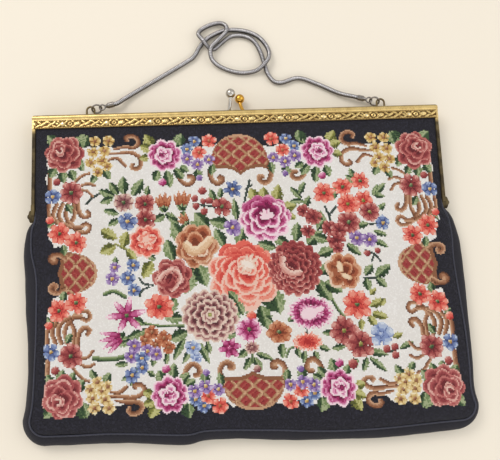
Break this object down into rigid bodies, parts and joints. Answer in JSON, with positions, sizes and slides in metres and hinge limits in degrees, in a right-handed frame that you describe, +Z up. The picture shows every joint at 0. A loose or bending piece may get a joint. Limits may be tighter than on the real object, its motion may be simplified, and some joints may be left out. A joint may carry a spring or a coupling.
{
  "type": "tapestry bag",
  "caption": "Flat evening bag of flowered needlework on a hinged metal frame with a stamped top bar, kiss-lock clasp and snake chain.",
  "frame": {"origin": "centre of the outline without the chain, on the surface that the back panel rests on", "axes": "+X across the bag to the right, +Y from the pouch to the clasp, +Z up from the back panel to the flowered front"},
  "size_m": [0.243, 0.2403, 0.0111],
  "materials": {
    "tapestry": "fine needlework, cream field with flowers in a black border",
    "black_cloth": "plain woven, matte",
    "piping_cloth": "satin cord",
    "lining_cloth": "satin",
    "gilt": "polished, worn",
    "steel": "darkened"
  },
  "bodies": {
    "bag": {"front_panel": "tapestry", "back_panel": "black_cloth", "gusset": "black_cloth", "front_piping": "piping_cloth", "back_piping": "piping_cloth", "lining_front": "lining_cloth", "lining_back": "lining_cloth", "frame_back": "gilt", "ornament_back": "gilt", "hinge_rivet_left": "gilt", "hinge_rivet_right": "gilt", "clasp_back": "steel", "chain_eye_left": "gilt", "chain_eye_right": "gilt", "chain_ring_left": "steel", "chain_ring_right": "steel", "chain_cap_left": "steel", "chain_cap_right": "steel", "chain": "steel"},
    "front_frame": {"frame_front": "gilt", "ornament_front": "gilt", "clasp_front": "gilt"}
  },
  "joints": [
    {"name": "frame_hinge", "type": "hinge", "parent": "bag", "child": "front_frame", "pos_m": [0, 0.0271, 0.00535], "axis": [1, 0, 0], "range_deg": [0, 65]}
  ]
}
